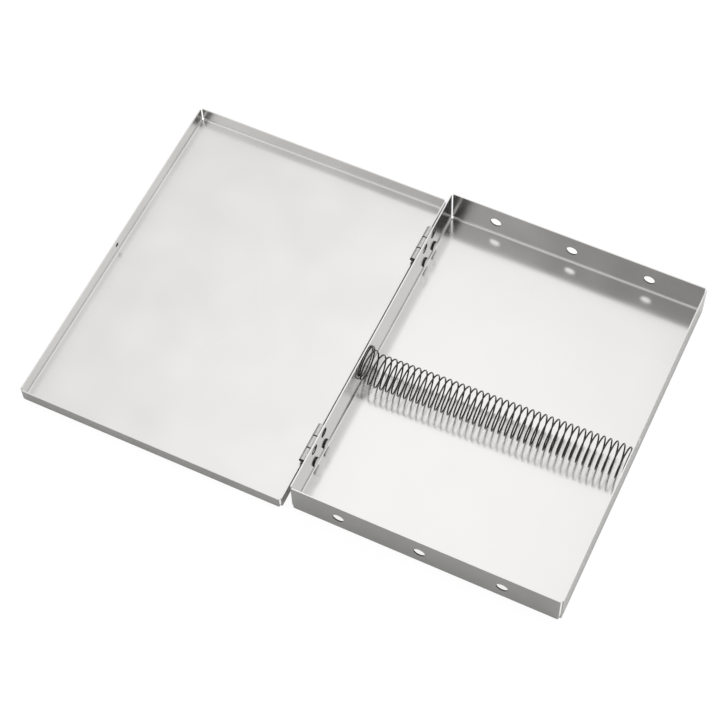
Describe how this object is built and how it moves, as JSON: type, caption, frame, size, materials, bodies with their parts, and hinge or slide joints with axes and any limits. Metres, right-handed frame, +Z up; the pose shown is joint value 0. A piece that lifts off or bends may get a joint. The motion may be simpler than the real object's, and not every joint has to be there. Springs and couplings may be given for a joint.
{
  "type": "hinged steel needle case with spring rack",
  "caption": "Shallow folded sheet-steel case with a hinged lid lying open and a long coil spring stretched across the tray to hold needles upright.",
  "frame": {"origin": "centre of the tray's flat underside", "axes": "+X from the hinge side to the free side of the tray, +Y along the hinge line, +Z up; the lid is at rest lying open on the same surface at -X"},
  "size_m": [0.1786, 0.1182, 0.013],
  "materials": {
    "polished_sheet": "bright polished stainless sheet",
    "hinge_steel": "tumbled stainless",
    "rivet_steel": "set and polished",
    "drawn_wire": "drawn steel wire, dark from hardening"
  },
  "bodies": {
    "tray_body": {"tray": "polished_sheet", "coil_spring": "drawn_wire", "front_hinge_tray_leaf": "hinge_steel", "front_hinge_pin": "drawn_wire", "back_hinge_tray_leaf": "hinge_steel", "back_hinge_pin": "drawn_wire", "tray_rivet_1": "rivet_steel", "tray_rivet_2": "rivet_steel", "tray_rivet_3": "rivet_steel", "tray_rivet_4": "rivet_steel"},
    "lid_body": {"lid": "polished_sheet", "front_hinge_lid_leaf": "hinge_steel", "back_hinge_lid_leaf": "hinge_steel", "lid_rivet_1": "rivet_steel", "lid_rivet_2": "rivet_steel", "lid_rivet_3": "rivet_steel", "lid_rivet_4": "rivet_steel"}
  },
  "joints": [
    {"name": "lid_hinge", "type": "hinge", "parent": "tray_body", "child": "lid_body", "pos_m": [-0.0451, 0, 0.00683], "axis": [0, 1, 0], "range_deg": [0, 180]}
  ]
}
